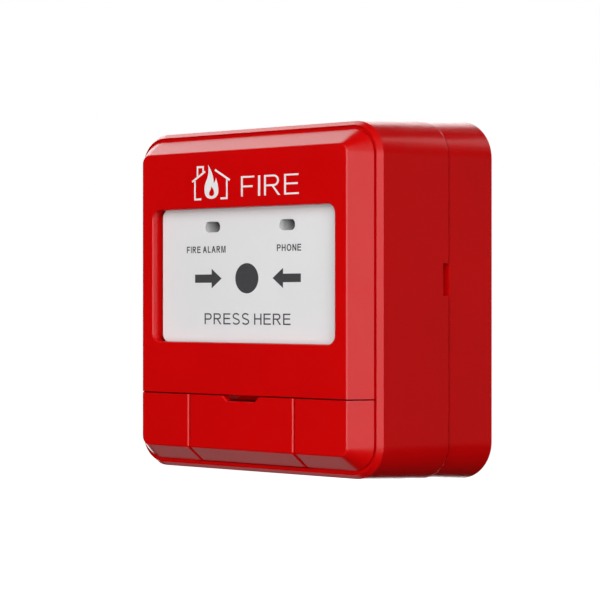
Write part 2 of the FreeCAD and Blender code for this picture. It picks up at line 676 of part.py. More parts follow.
def panel_springs():
    """Torsion springs round the pivot rod, one leg behind the panel and one towards the cover."""
    radius, wire, turns, pitch = 1.45, 0.25, 5, 0.62
    length = pitch * turns
    springs = []
    for side in (1, -1):
        spring = coil(radius, wire, pitch, length)
        spring.rotate(Vector(0, 0, 0), Vector(0, 1, 0), 90)
        spring.rotate(Vector(0, 0, 0), Vector(1, 0, 0), 90)
        first_x = SPRING_X if side > 0 else -SPRING_X - length
        last_x = first_x + length
        spring.translate(Vector(first_x, PANEL_PIVOT_Y, PANEL_PIVOT_Z))
        leg_y = PANEL_PIVOT_Y + radius
        panel_end = Vector(first_x, PANEL_BACK_Y + 0.3, 17.5)
        cover_end = Vector(last_x, FLANGE_BACK_Y - 1.9, 29.3)
        down = wire_leg(Vector(first_x, leg_y, PANEL_PIVOT_Z), panel_end, wire)
        up = wire_leg(Vector(last_x, leg_y, PANEL_PIVOT_Z), cover_end, wire)
        springs.append(join(spring, down, up))
    return springs


# Switch

def switch_body():
    """Microswitch case with ears for the lever and a bore for the plunger."""
    case = box(SWITCH_X, (SWITCH_TOP_Y, BOARD_FRONT_Y), around(SWITCH_Z, SWITCH_HALF_Z))
    ear_y = (LEVER_PIVOT_Y - 0.8, SWITCH_TOP_Y + 1)
    ears = [
        box(around(LEVER_PIVOT_X, 1), ear_y, (SWITCH_Z + side * 2.75, SWITCH_Z + side * SWITCH_HALF_Z))
        for side in (1, -1)
    ]
    across = (SWITCH_Z - 5, SWITCH_Z + 5)
    pin_hole = cylinder("z", LEVER_PIVOT_X, LEVER_PIVOT_Y, 0.42, across)
    plunger_hole = cylinder("y", 0, SWITCH_Z, PLUNGER_R + 0.06, (-35, -31))
    screw_holes = [cylinder("z", x, -27.5, 1.1, across) for x in (-7.4, 2.2)]
    return cut(join(case, *ears), pin_hole, plunger_hole, *screw_holes)


def switch_plunger():
    """Round pin with a domed end under the lever."""
    dome_y = -34.9
    shaft = cylinder("y", 0, SWITCH_Z, PLUNGER_R, (dome_y - 0.2, -32.8))
    ball = Part.makeSphere(PLUNGER_R, Vector(0, dome_y, SWITCH_Z))
    dome = ball.common(box((-2, 2), (dome_y - 0.5, dome_y + 0.9), around(SWITCH_Z, 2)))
    return join(shaft, dome)


def switch_lever():
    """Leaf with its pivot pins, reaching past the case under the panel's boss."""
    leaf = box((LEVER_PIVOT_X, 8.2), (LEVER_FRONT_Y, LEVER_FRONT_Y + 0.4), around(SWITCH_Z, LEVER_HALF_Z))
    barrel = cylinder("z", LEVER_PIVOT_X, LEVER_PIVOT_Y, 0.7, around(SWITCH_Z, LEVER_HALF_Z))
    pins = cylinder("z", LEVER_PIVOT_X, LEVER_PIVOT_Y, 0.35, around(SWITCH_Z, LEVER_HALF_Z + 0.8))
    return join(leaf, barrel, pins)


def switch_tags():
    return [box(around(x, 0.4), (BOARD_FRONT_Y, -20.9), around(SWITCH_Z, 0.9)) for x in SWITCH_TAGS_X]


# Board and components

def main_board():
    """Board with screw holes and holes for the switch's tags."""
    middle = (BOARD_TOP + BOARD_BOTTOM) / 2
    half_z = (BOARD_TOP - BOARD_BOTTOM) / 2
    board = rounded_block(BOARD_HALF_X, half_z, 3.0, (BOARD_FRONT_Y, BOARD_BACK_Y), 0, middle)
    through = (BOARD_FRONT_Y - 1, BOARD_BACK_Y + 1)
    holes = [cylinder("y", x, z, 1.35, through) for x, z in BOARD_POSTS]
    tag_holes = [box(around(x, 0.45), through, around(SWITCH_Z, 0.95)) for x in SWITCH_TAGS_X]
    return cut(board, *holes, *tag_holes)


def board_screws():
    return [screw(place, BOARD_SCREW, BOARD_BACK_Y, BOARD_BACK_Y + 1.6, -30.5) for place in BOARD_POSTS]


def contact_socket():
    """Four-way socket behind the board that the base's blades slide into."""
    body = box((-16.6, 16.6), (BOARD_BACK_Y, SOCKET_BACK_Y), around(BLADE_Z, 4))
    slots = [box(around(x, 2.8), (-22, SOCKET_BACK_Y + 1), around(BLADE_Z, 1.7)) for x in POLES_X]
    return cut(body, *slots)


def socket_contacts():
    """A bent leaf pair in each slot of the socket."""
    root_y, leaf_end_y, inside, outside = -21.95, -15.0, 0.75, 1.15
    contacts = []
    for x in POLES_X:
        across = around(x, 2.0)
        bridge = box(across, (root_y, root_y + 0.45), around(BLADE_Z, outside))
        leaves = [
            box(across, (root_y, leaf_end_y), (BLADE_Z + side * inside, BLADE_Z + side * outside))
            for side in (1, -1)
        ]
        contacts.append(join(bridge, *leaves))
    return contacts


def microcontroller():
    """Flat package with leads along two sides."""
    centre_x, centre_z, half = 16.0, -7.0, 3.5
    pitch, pins, lead_half = 0.8, 8, 0.18
    lead_y = (BOARD_FRONT_Y - 0.5, BOARD_FRONT_Y)
    package_y = (BOARD_FRONT_Y - 1.5, BOARD_FRONT_Y - 0.1)
    package = box(around(centre_x, half), package_y, around(centre_z, half))
    leads = []
    for i in range(pins):
        z = centre_z + pitch * (i - (pins - 1) / 2)
        for side in (1, -1):
            lead_x = (centre_x + side * (half - 0.2), centre_x + side * (half + 0.9))
            leads.append(box(lead_x, lead_y, around(z, lead_half)))
    return join(package, *leads)


def capacitors():
    """Round cans standing on the board: x, z, radius and height of each."""
    cans = []
    for x, z, radius, height in ((-26, -8, 3.2, 9), (-18.5, -12, 2.5, 7), (27, 4, 3.2, 9)):
        can = cylinder("y", x, z, radius, (BOARD_FRONT_Y - height, BOARD_FRONT_Y))
        cans.append(can.makeFillet(0.5, [can.Edges[0], can.Edges[2]]))
    return cans


def chip_parts():
    """Small resistors and capacitors in rows beside the controller."""
    first_x, first_z, step_x, step_z = -6.0, -5.0, 3.1, 4.2
    parts = []
    for row in range(3):
        for column in range(6):
            x, z = first_x + column * step_x, first_z - row * step_z
            parts.append(box(around(x, 0.8), (BOARD_FRONT_Y - 0.6, BOARD_FRONT_Y), around(z, 0.45)))
    return parts


def indicator_leds():
    led_y = (BOARD_FRONT_Y - 1.6, BOARD_FRONT_Y)
    return [box(around(x, 1.6), led_y, around(LENS_Z, 0.9)) for x in LENS_CENTRES_X]


def light_pipes():
    """Clear bars that carry each LED's light to just behind its lens, on a round foot."""
    foot_front_y = -27.0
    pipes = []
    for x in LENS_CENTRES_X:
        bar = rounded_block(2.0, 1.1, 1.0, (-45.7, foot_front_y + 0.5), x, LENS_Z)
        foot = cylinder("y", x, LENS_Z, 3.2, (foot_front_y, BOARD_FRONT_Y))
        room = cylinder("y", x, LENS_Z, 2.2, (foot_front_y + 1, BOARD_FRONT_Y + 1))
        pipes.append(cut(join(bar, foot), room))
    return pipes


# Phone jack

def jack_bush():
    """Threaded bush with a shoulder behind the pocket's floor."""
    tube = join(
        cylinder("y", JACK_X, LOCK_Z, JACK_THREAD_R, (JACK_BUSH_FRONT_Y, POCKET_BACK_Y + 0.4)),
        cylinder("y", JACK_X, LOCK_Z, 6.0, (POCKET_BACK_Y, JACK_CASE_FRONT_Y)),
    )
    through = (JACK_BUSH_FRONT_Y - 2, JACK_CASE_FRONT_Y + 2)
    return cut(tube, cylinder("y", JACK_X, LOCK_Z, JACK_BORE_R, through))


def jack_nut():
    """Six-sided nut, 12 mm across its flats."""
    to_corner = 6.0 / math.cos(math.radians(30))
    turns = [math.radians(60 * i + 30) for i in range(6)]
    corners = [
        (JACK_X + to_corner * math.cos(turn), LOCK_Z + to_corner * math.sin(turn)) for turn in turns
    ]
    nut = prism(corners, "y", (POCKET_FLOOR_Y - 2.0, POCKET_FLOOR_Y))
    return cut(nut, cylinder("y", JACK_X, LOCK_Z, JACK_THREAD_R + RUNNING_GAP, (-45, -38)))


def jack_contacts():
    """A leaf above the plug and one below, with their solder tags behind the case."""
    return [
        box(around(JACK_X, 2), (front_y, JACK_CASE_BACK_Y + 2.2), around(LOCK_Z + side * JACK_LEAF_Z, 0.2))
        for side, front_y in ((1, -30.0), (-1, -36.5))
    ]


def jack_body():
    """Moulded case with room for a plug and slits for the leaves' tags."""
    case = box(around(JACK_X, 7.5), (JACK_CASE_FRONT_Y, JACK_CASE_BACK_Y), around(LOCK_Z, 7.5))
    room = box(around(JACK_X, 4.8), (JACK_CASE_FRONT_Y - 1, JACK_CASE_BACK_Y - 1.8), around(LOCK_Z, 4.8))
    slit_y = (JACK_CASE_BACK_Y - 2.6, JACK_CASE_BACK_Y + 0.4)
    slits = [
        box(around(JACK_X, 2.05), slit_y, around(LOCK_Z + side * JACK_LEAF_Z, 0.25)) for side in (1, -1)
    ]
    return cut(case, room, *slits)


# Reset lock

def reset_barrel():
    """Fixed bush in the pocket's floor, with a flange in front."""
    bush = join(
        cylinder("y", LOCK_X, LOCK_Z, BARREL_R, (BARREL_FRONT_Y, POCKET_BACK_Y)),
        cylinder("y", LOCK_X, LOCK_Z, BARREL_R + 1.4, (BARREL_FRONT_Y, POCKET_FLOOR_Y)),
    )
    return cut(bush, cylinder("y", LOCK_X, LOCK_Z, CAM_SHAFT_R + RUNNING_GAP, (-44, -38)))


def snail(ends):
    """Cam disc whose radius grows evenly over the quarter turn that the key makes."""
    steps = 12
    arc = []
    for i in range(steps + 1):
        turn = math.pi / 2 * i / steps
        radius = CAM_BASE_R + CAM_LIFT * i / steps
        arc.append(Vector(LOCK_X + radius * math.sin(turn), ends[0], LOCK_Z - radius * math.cos(turn)))
    lobe = Part.BSplineCurve()
    lobe.interpolate(arc)
    hub = Vector(LOCK_X, ends[0], LOCK_Z)
    to_hub = Part.LineSegment(arc[-1], hub).toShape()
    from_hub = Part.LineSegment(hub, arc[0]).toShape()
    face = Part.Face(Part.Wire([lobe.toShape(), to_hub, from_hub]))
    base_circle = cylinder("y", LOCK_X, LOCK_Z, CAM_BASE_R, ends)
    return join(face.extrude(Vector(0, ends[1] - ends[0], 0)), base_circle)


def reset_cam():
    """Shaft with a triangular key socket, snail cam and rear journal."""
    body = join(
        cylinder("y", LOCK_X, LOCK_Z, CAM_SHAFT_R, (BARREL_FRONT_Y + 0.2, CAM_DISC_Y[0])),
        snail(CAM_DISC_Y),
        cylinder("y", LOCK_X, LOCK_Z, CAM_JOURNAL_R, (CAM_DISC_Y[1], KEEPER_BACK_Y + 0.4)),
    )
    turns = [math.radians(120 * i) for i in range(3)]
    corners = [
        (LOCK_X + KEY_REACH * math.sin(turn), LOCK_Z + KEY_REACH * math.cos(turn)) for turn in turns
    ]
    return cut(body, prism(corners, "y", (BARREL_FRONT_Y - 1, CAM_DISC_Y[0] - 0.5)))


def reset_slider():
    """Plate that the cam pushes down: a frame round the cam, and a neck up to the panel's catch."""
    plate = join(
        box((2.0, 16.0), SLIDER_Y, (-39.6, -25.2)),
        box((4.5, 13.5), SLIDER_Y, (-26, -12.7)),
    )
    cam_window = box((3.4, 14.6), (-41, -35), (-38.1, -27.8))
    spring_window = box((6.9, 11.1), (-41, -35), (-22.1, -14.7))
    nose = box(around(LOCK_X, 0.3), SLIDER_Y, (-38.4, -36.7))
    return join(cut(plate, cam_window, spring_window), nose)


def slider_spring():
    """Compression spring between the head's lug and the slider's neck."""
    spring = coil(1.2, 0.25, 0.95, 4.75)
    spring.translate(Vector(LOCK_X, sum(SLIDER_Y) / 2, -19.85))
    return spring


def slider_keeper():
    """Plate over the slider and the cam's rear journal."""
    through = (-38, -34)
    plate = box((-1.0, POCKET_OUTER_X), (RAIL_TOP_Y, KEEPER_BACK_Y), (-41.0, -25.2))
    holes = [cylinder("y", x, z, KEEPER_SCREW[1] + 0.2, through) for x, z in KEEPER_SCREWS]
    return cut(plate, cylinder("y", LOCK_X, LOCK_Z, CAM_JOURNAL_R + 0.06, through), *holes)


def keeper_screws():
    return [screw(place, KEEPER_SCREW, KEEPER_BACK_Y, KEEPER_BACK_Y + 1, -40.2) for place in KEEPER_SCREWS]


def main():
    os.makedirs("parts", exist_ok=True)
    nodes = {
        "rear_base": rear_base,
        "terminal_block": terminal_block,
        "terminal_screws": terminal_screws,
        "wire_clamps": wire_clamps,
        "contact_blades": contact_blades,
        "terminal_block_screws": terminal_block_screws,
        "head_housing": head_housing,
        "front_cover": front_cover,
        "lower_cover": lower_cover,
        "cover_screws": lambda: flange_screws(COVER_SCREWS),
        "lower_cover_screws": lambda: flange_screws(LOWER_COVER_SCREWS),
        "access_flap": access_flap,
        "flap_hinge_pin": flap_hinge_pin,
        "press_panel": press_panel,
        "fire_lens": lambda: indicator_lens(LENS_CENTRES_X[0]),
        "phone_lens": lambda: indicator_lens(LENS_CENTRES_X[1]),
        "panel_pivot_rod": panel_pivot_rod,
        "panel_springs": panel_springs,
        "switch_body": switch_body,
        "switch_plunger": switch_plunger,
        "switch_lever": switch_lever,
        "switch_tags": switch_tags,
        "main_board": main_board,
        "board_screws": board_screws,
        "contact_socket": contact_socket,
        "socket_contacts": socket_contacts,
        "microcontroller": microcontroller,
        "capacitors": capacitors,
        "chip_parts": chip_parts,
        "indicator_leds": indicator_leds,
        "light_pipes": light_pipes,
        "jack_bush": jack_bush,
        "jack_nut": jack_nut,
        "jack_contacts": jack_contacts,
        "jack_body": jack_body,
        "reset_barrel": reset_barrel,
        "reset_cam": reset_cam,
        "reset_slider": reset_slider,
        "slider_spring": slider_spring,
        "slider_keeper": slider_keeper,
        "keeper_screws": keeper_screws,
    }
    for name, make in nodes.items():
        save(name, make())


main()
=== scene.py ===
"""Looks of the manual call point: materials, printing and studio. Metres."""

import json
import math

import bmesh
import bpy
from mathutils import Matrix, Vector


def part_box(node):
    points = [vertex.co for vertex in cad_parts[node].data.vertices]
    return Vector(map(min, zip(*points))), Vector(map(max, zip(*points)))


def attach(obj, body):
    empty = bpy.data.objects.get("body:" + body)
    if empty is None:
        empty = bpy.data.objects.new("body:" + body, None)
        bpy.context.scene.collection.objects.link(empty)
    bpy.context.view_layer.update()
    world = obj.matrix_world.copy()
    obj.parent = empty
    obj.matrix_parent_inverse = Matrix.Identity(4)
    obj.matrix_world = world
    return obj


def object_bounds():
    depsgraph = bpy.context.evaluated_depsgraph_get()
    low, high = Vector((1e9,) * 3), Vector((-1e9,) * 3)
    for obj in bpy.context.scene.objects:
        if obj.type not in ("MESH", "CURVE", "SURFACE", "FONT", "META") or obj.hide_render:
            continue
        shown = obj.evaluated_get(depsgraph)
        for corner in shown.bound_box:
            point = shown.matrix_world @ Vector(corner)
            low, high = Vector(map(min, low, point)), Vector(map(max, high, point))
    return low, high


MM = 0.001

# Camera: level with the middle of the object, 39 degrees round to its right
CAMERA_PLACE = Vector((321.2, -423.4, 0.0)) * MM
CAMERA_TURN = math.radians(39.0)
CAMERA_LENS = 113.5

# Strength of the even light from all around
GLOW = 0.012

# Ground, in metres: how far below the object, and half its width
FLOOR_DROP, FLOOR_HALF = 0.16, 6.0

# Printing, in millimetres; each word's box is its left, right, base and top
INK_PROUD = 0.02
INK_SUNK = 0.01
CAP_GAP, WORD_GAP = 0.21, 0.52
COVER_STROKE, PRESS_STROKE, SMALL_STROKE = 0.60, 0.44, 0.32
FIRE_WORD = (0.35, 19.65, 26.85, 32.1)
PRESS_HERE_WORD = (-14.75, 14.75, -6.42, -3.5)
FIRE_ALARM_WORD = (-21.1, -7.35, 12.5, 14.25)
PHONE_WORD = (10.2, 18.25, 12.57, 14.32)
AIM_Z = 5.67
DOT_RADIUS = 3.95
ARROW_TIP, ARROW_NECK, ARROW_TAIL = 8.75, 12.25, 18.15
ARROW_HEAD_HALF, ARROW_SHAFT_HALF = 2.6, 1.1
HOUSE_LEFT, HOUSE_RIGHT = -16.75, -3.55
HOUSE_FOOT, HOUSE_EAVES, HOUSE_RIDGE = 26.6, 31.3, 35.0

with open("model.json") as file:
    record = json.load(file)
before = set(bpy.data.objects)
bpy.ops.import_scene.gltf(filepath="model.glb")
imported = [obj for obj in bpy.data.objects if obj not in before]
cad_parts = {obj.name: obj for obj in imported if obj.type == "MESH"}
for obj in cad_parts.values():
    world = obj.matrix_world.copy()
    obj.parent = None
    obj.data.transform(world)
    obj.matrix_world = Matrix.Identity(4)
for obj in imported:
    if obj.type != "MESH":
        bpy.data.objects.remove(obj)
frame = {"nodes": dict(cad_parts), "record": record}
cad_low, cad_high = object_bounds()
nodes = frame["nodes"]


# Shader nodes

class Shader:
    """A material's node tree, with short calls for the nodes used here."""

    def __init__(self, name):
        self.material = bpy.data.materials.new(name)
        self.material.use_nodes = True
        self.tree = self.material.node_tree
        self.surface = self.tree.nodes["Principled BSDF"]
        self.place_node = self.add("ShaderNodeTexCoord")
        self.place = self.place_node.outputs["Object"]

    def add(self, kind, **settings):
        node = self.tree.nodes.new(kind)
        for key, value in settings.items():
            setattr(node, key, value)
        return node

    def link(self, source, target):
        self.tree.links.new(source, target)

    def set(self, **values):
        """Constant values on the surface's own sockets; underscores stand for spaces."""
        for key, value in values.items():
            self.surface.inputs[key.replace("_", " ")].default_value = value

    def noise(self, scale, detail=3.0, roughness=0.5, place=None):
        node = self.add("ShaderNodeTexNoise")
        node.inputs["Scale"].default_value = scale
        node.inputs["Detail"].default_value = detail
        node.inputs["Roughness"].default_value = roughness
        self.link(place or self.place, node.inputs["Vector"])
        return node.outputs["Fac"]

    def stretched(self, factors):
        """The object's coordinates scaled along each axis, for drawn or brushed marks."""
        node = self.add("ShaderNodeMapping")
        node.inputs["Scale"].default_value = factors
        self.link(self.place, node.inputs["Vector"])
        return node.outputs["Vector"]

    def ramp(self, source, low, high, spread=(0.3, 0.7)):
        """Maps source to between two values or colours."""
        node = self.add("ShaderNodeValToRGB")
        for element, where, value in zip(node.color_ramp.elements, spread, (low, high)):
            element.position = where
            element.color = (value, value, value, 1) if isinstance(value, float) else (*value, 1)
        self.link(source, node.inputs["Fac"])
        return node.outputs["Color"]

    def colour(self, source, colour, change, spread=(0.3, 0.7)):
        """Base colour that drifts by the share change either side of colour."""
        low = tuple(c * (1 - change) for c in colour)
        high = tuple(min(1.0, c * (1 + change)) for c in colour)
        self.link(self.ramp(source, low, high, spread), self.surface.inputs["Base Color"])

    def roughness(self, source, low, high):
        self.link(self.ramp(source, low, high), self.surface.inputs["Roughness"])

    def bump(self, source, height):
        node = self.add("ShaderNodeBump")
        node.inputs["Distance"].default_value = height
        self.link(source, node.inputs["Height"])
        self.link(node.outputs["Normal"], self.surface.inputs["Normal"])


def moulded(name, colour, rough=(0.30, 0.38), grain=2600.0, height=0.0015 * MM, drift=0.03):
    """Moulded plastic: slow drift in colour, patchy gloss and a fine spark-eroded grain."""
    shader = Shader(name)
    shader.colour(shader.noise(38.0, 2.0), colour, drift)
    shader.roughness(shader.noise(140.0, 4.0), *rough)
    shader.bump(shader.noise(grain, 2.0, 0.6), height)
    shader.set(IOR=1.5)
    return shader.material


def metal(name, colour, rough=(0.29, 0.40), streaks=(900.0, 900.0, 90.0), height=0.004 * MM):
    """Plated or drawn metal with faint streaks along one axis."""
    shader = Shader(name)
    marks = shader.noise(1.0, 4.0, 0.6, shader.stretched(streaks))
    shader.colour(shader.noise(60.0, 3.0), colour, 0.06)
    shader.roughness(marks, *rough)
    shader.bump(marks, height)
    shader.set(Metallic=1.0)
    return shader.material


def clear_plastic():
    """Smoky diffusing lens with painted shade: pale at its lower left, darkening across its own box
    towards its upper right, with faint random mottle.
    """
    shader = Shader("clear_plastic")
    own_box = shader.place_node.outputs["Generated"]
    # Painted shade: a slope across the lens's own box, rising towards its right and top
    across = shader.add("ShaderNodeVectorMath", operation="DOT_PRODUCT")
    across.inputs[1].default_value = (0.8, 0.0, 0.45)
    shader.link(own_box, across.inputs[0])
    # Faint random mottle added to the painted shade slope
    mottle_and_painted_shade = shader.add("ShaderNodeMath", operation="MULTIPLY_ADD")
    mottle_and_painted_shade.inputs[1].default_value = 0.12
    shader.link(shader.noise(900.0, 2.0), mottle_and_painted_shade.inputs[0])
    shader.link(across.outputs["Value"], mottle_and_painted_shade.inputs[2])
    # Painted shade in the base colour, from pale grey where the slope is low to near black where it is
    # high
    shade = shader.ramp(mottle_and_painted_shade.outputs[0], (0.34, 0.34, 0.34), (0.035, 0.035, 0.036), (0.36, 0.98))
    shader.link(shade, shader.surface.inputs["Base Color"])
    shader.roughness(shader.noise(300.0, 2.0), 0.16, 0.24)
    shader.bump(shader.noise(700.0, 2.0), 0.002 * MM)
    shader.set(IOR=1.49)
    return shader.material


def solder_resist():
    """Board lacquer with the weave of the glass cloth under it."""
    shader = Shader("board_green")
    weave = shader.add("ShaderNodeTexWave", wave_type="BANDS", bands_direction="X")
    weave.inputs["Scale"].default_value = 420.0
    shader.link(shader.place, weave.inputs["Vector"])
    shader.colour(shader.noise(120.0, 3.0), (0.012, 0.13, 0.055), 0.25)
    shader.roughness(shader.noise(220.0, 3.0), 0.29, 0.42)
    shader.bump(weave.outputs["Fac"], 0.004 * MM)
    shader.set(IOR=1.5, Coat_Weight=0.3)
    return shader.material


def printed(name, colour):
    """Pad-printed ink with a slightly uneven film."""
    shader = Shader(name)
    shader.colour(shader.noise(900.0, 3.0), colour, 0.05)
    shader.roughness(shader.noise(1300.0, 2.0), 0.38, 0.5)
    shader.bump(shader.noise(2400.0, 2.0), 0.002 * MM)
    shader.set(Specular_IOR_Level=0.3)
    return shader.material


def make_materials():
    """One material for each slot of the record, and the two inks."""
    return {
        "red_plastic": moulded("red_plastic", (0.62, 0.0008, 0.0012), (0.20, 0.26)),
        "white_plastic": moulded("white_plastic", (0.80, 0.80, 0.81), (0.36, 0.44), drift=0.012),
        "clear_plastic": clear_plastic(),
        "zinc_steel": metal("zinc_steel", (0.62, 0.64, 0.67)),
        "spring_steel": metal("spring_steel", (0.50, 0.50, 0.52), (0.29, 0.36)),
        "tinned_copper": metal("tinned_copper", (0.70, 0.69, 0.66), (0.28, 0.42)),
        "nickel": metal("nickel", (0.66, 0.63, 0.58), (0.12, 0.22)),
        "board_green": solder_resist(),
        "black_plastic": moulded("black_plastic", (0.018, 0.018, 0.020), (0.38, 0.50), drift=0.15),
        "green_plastic": moulded("green_plastic", (0.018, 0.19, 0.075), (0.34, 0.46), drift=0.06),
        "ivory_plastic": moulded("ivory_plastic", (0.66, 0.60, 0.46), (0.34, 0.44), drift=0.04),
        "brass": metal("brass", (0.71, 0.48, 0.18), (0.16, 0.26)),
        "can_sleeve": moulded("can_sleeve", (0.012, 0.016, 0.035), (0.16, 0.26), drift=0.1),
        "chip_ceramic": moulded("chip_ceramic", (0.20, 0.15, 0.10), (0.4, 0.5), drift=0.2),
        "led_body": moulded("led_body", (0.72, 0.70, 0.62), (0.20, 0.26), drift=0.04),
        "white_ink": printed("white_ink", (0.84, 0.82, 0.82)),
        "grey_ink": printed("grey_ink", (0.058, 0.058, 0.061)),
    }


materials = make_materials()


def dress_cad_nodes():
    """Gives every CAD node the material of its slot."""
    for part in frame["record"]["subparts"]:
        mesh = nodes[part["node"]].data
        mesh.materials.clear()
        mesh.materials.append(materials[part["material_slot"]])


# Pieces made here

def new_piece(name, mesh, material, body):
    piece = bpy.data.objects.new(name, mesh)
    bpy.context.scene.collection.objects.link(piece)
    mesh.materials.clear()
    mesh.materials.append(materials[material])
    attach(piece, body)
    return piece


def ink(name, loops, node, material, body, slot):
    """A thin solid of ink on the front face of a node; a loop inside another is a hole in it."""
    curve = bpy.data.curves.new(name, "CURVE")
    curve.dimensions = "2D"
    curve.fill_mode = "BOTH"
    curve.extrude = (INK_PROUD + INK_SUNK) / 2 * MM
    for loop in loops:
        spline = curve.splines.new("POLY")
        spline.points.add(len(loop) - 1)
        for point, (x, z) in zip(spline.points, loop):
            point.co = (x * MM, z * MM, 0, 1)
        spline.use_cyclic_u = True
    drawn = bpy.data.objects.new(name, curve)
    mesh = bpy.data.meshes.new_from_object(drawn)
    bpy.data.objects.remove(drawn)
    face_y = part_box(node)[0].y
    middle_y = face_y + (INK_SUNK - INK_PROUD) / 2 * MM
    for vertex in mesh.vertices:
        x, z, depth = vertex.co
        vertex.co = (x, middle_y + depth, z)
    shape = bmesh.new()
    shape.from_mesh(mesh)
    bmesh.ops.remove_doubles(shape, verts=shape.verts, dist=1e-7)
    bmesh.ops.recalc_face_normals(shape, faces=shape.faces)
    shape.to_mesh(mesh)
    shape.free()
    return new_piece(name, mesh, material, body)


# Outlines: closed loops of x, z

def arc(cx, cz, rx, rz, start, end, steps=20):
    """Points on an ellipse from one angle to another, in degrees."""
    turns = [math.radians(start + (end - start) * i / steps) for i in range(steps + 1)]
    return [(cx + rx * math.cos(t), cz + rz * math.sin(t)) for t in turns]


def band(points, width):
    """The outline of a line of one width drawn along points, mitred at its corners."""
    left, right = [], []
    for i, point in enumerate(points):
        here = Vector(point)
        ways = []
        if i > 0:
            ways.append((here - Vector(points[i - 1])).normalized())
        if i < len(points) - 1:
            ways.append((Vector(points[i + 1]) - here).normalized())
        normals = [Vector((-way.y, way.x)) for way in ways]
        normal = sum(normals, Vector((0, 0))).normalized()
        reach = width / 2 / max(normal.dot(normals[0]), 0.4)
        left.append(tuple(here + normal * reach))
        right.append(tuple(here - normal * reach))
    return left + right[::-1]


# Plain sans-serif capitals in a box of height 1, as loops for a letter width and a stem width s

# Half a bar's thickness, as a share of the stem's width
BAR_HALF = 0.45


def bar_letter(s, bars):
    """A left stem with bars at the given heights and lengths, as in E, F and L."""
    loop = [(0, 0)]
    for middle, length in bars:
        low, high = middle - s * BAR_HALF, middle + s * BAR_HALF
        if low > 0:
            loop += [(s, low)] if loop[-1][0] == s else [(s, 0), (s, low)]
        loop += [(length, low), (length, high), (s, high)]
    if loop[-1][1] < 1:
        loop += [(s, 1), (0, 1)]
    else:
        loop = loop[:-1] + [(0, 1)]
    return [loop]


def letter_e(width, s):
    edge = s * BAR_HALF
    return bar_letter(s, ((edge, width), (0.53, width * 0.93), (1 - edge, width * 0.98)))


def letter_f(width, s):
    return bar_letter(s, ((0.49, width * 0.87), (1 - s * BAR_HALF, width)))


def letter_l(width, s):
    return bar_letter(s, ((s * BAR_HALF, width),))


def letter_i(width, s):
    return [[(0, 0), (s, 0), (s, 1), (0, 1)]]


def letter_h(width, s):
    low, high = 0.52 - s * BAR_HALF, 0.52 + s * BAR_HALF
    inner = width - s
    return [[(0, 0), (s, 0), (s, low), (inner, low), (inner, 0), (width, 0), (width, 1), (inner, 1),
             (inner, high), (s, high), (s, 1), (0, 1)]]


def letter_n(width, s):
    slant = s * 1.75
    inner = width - s
    return [[(0, 0), (s, 0), (s, 1 - slant), (inner, 0), (width, 0), (width, 1), (inner, 1),
             (inner, slant), (s, 1), (0, 1)]]


def letter_m(width, s):
    middle, foot = width / 2, s * 0.55
    notch = 0.17
    return [[(0, 0), (s, 0), (s, 0.84), (middle - foot, 0), (middle + foot, 0), (width - s, 0.84),
             (width - s, 0), (width, 0), (width, 1), (width - s * 1.35, 1), (middle, notch),
             (s * 1.35, 1), (0, 1)]]


def letter_a(width, s):
    leg, top = s * 1.08, s * 0.6
    lean = width / 2 - top
    bar_low, bar_high = 0.29, 0.29 + s * 0.88
    apex = (width / 2 - leg) / lean
    outer = [(0, 0), (leg, 0), (leg + bar_low * lean, bar_low), (width - leg - bar_low * lean, bar_low),
             (width - leg, 0), (width, 0), (width / 2 + top, 1), (width / 2 - top, 1)]
    hole_left = leg + bar_high * lean
    hole = [(hole_left, bar_high), (width / 2, min(apex, 0.93)), (width - hole_left, bar_high)]
    return [outer, hole]


def letter_o(width, s):
    outer = arc(width / 2, 0.5, width / 2, 0.52, 0, 350, 35)
    hole = arc(width / 2, 0.5, width / 2 - s, 0.52 - s * 0.92, 0, 350, 35)
    return [outer, hole]


def bowl(width, s, foot):
    """The round part of P and R, from its foot up: outer points, and the hole."""
    radius = (1 - foot) / 2
    middle = foot + radius
    flat = width - radius
    outer = arc(flat, middle, radius, radius, -90, 90)
    inner = arc(flat, middle, radius - s, radius - s * 0.9, -90, 90)
    hole = [(s, foot + s * 0.9)] + inner + [(s, 1 - s * 0.9)]
    return outer, hole


def letter_p(width, s):
    foot = 0.405
    outer, hole = bowl(width, s, foot)
    return [[(0, 0), (s, 0), (s, foot)] + outer + [(0, 1)], hole]


def letter_r(width, s):
    foot = 0.445
    shoulder = width * 0.92
    outer, hole = bowl(shoulder, s, foot)
    leg_top = shoulder - (1 - foot) / 2
    leg = [(leg_top - s * 1.05, foot), (width - s * 1.2, 0), (width, 0), (leg_top + s * 0.1, foot)]
    return [[(0, 0), (s, 0), (s, foot)] + leg + outer[1:] + [(0, 1)], hole]


def letter_s(width, s):
    reach = width / 2 - s * 0.48
    upper = arc(width / 2, 0.753, reach * 0.93, 0.26 - s * 0.05 - 0.03, 22, 262, 22)
    lower = arc(width / 2, 0.262, reach, 0.262 - s * 0.05 - 0.03, 84, -156, 22)
    return [band(upper + lower, s * 0.94)]


# Each letter's width as a share of its height, and its outline; I is as wide as its stem
LETTERS = {
    "A": (0.93, letter_a), "E": (0.77, letter_e), "F": (0.72, letter_f), "H": (0.79, letter_h),
    "I": (None, letter_i), "L": (0.64, letter_l), "M": (0.96, letter_m), "N": (0.79, letter_n),
    "O": (0.97, letter_o), "P": (0.79, letter_p), "R": (0.86, letter_r), "S": (0.80, letter_s),
}


